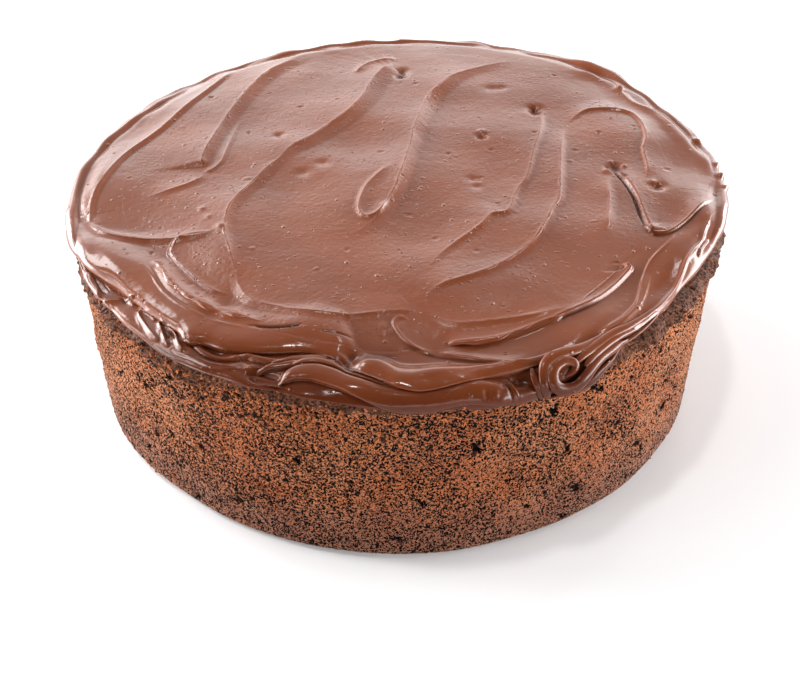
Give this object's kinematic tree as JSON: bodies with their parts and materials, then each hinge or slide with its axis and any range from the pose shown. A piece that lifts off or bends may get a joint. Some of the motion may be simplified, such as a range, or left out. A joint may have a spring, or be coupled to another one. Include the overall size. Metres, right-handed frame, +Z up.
{
  "type": "chocolate mud cake",
  "caption": "Whole round chocolate mud cake with straight sides, under thick chocolate icing spread in broad strokes over its top and folded over at the rim.",
  "frame": {"origin": "centre of the cake's base, on the surface that it rests on", "axes": "+Z up; -Y is the front that the picture shows; +X to the right"},
  "size_m": [0.2378, 0.2379, 0.0838],
  "materials": {
    "cake": "dull, fine-pored chocolate sponge, orange-brown high on its wall, greyer near the base, dark crinkled crust",
    "icing": "soft satin chocolate icing with glossy folds"
  },
  "bodies": {
    "root": {"cake": "cake", "icing": "icing"}
  },
  "joints": []
}
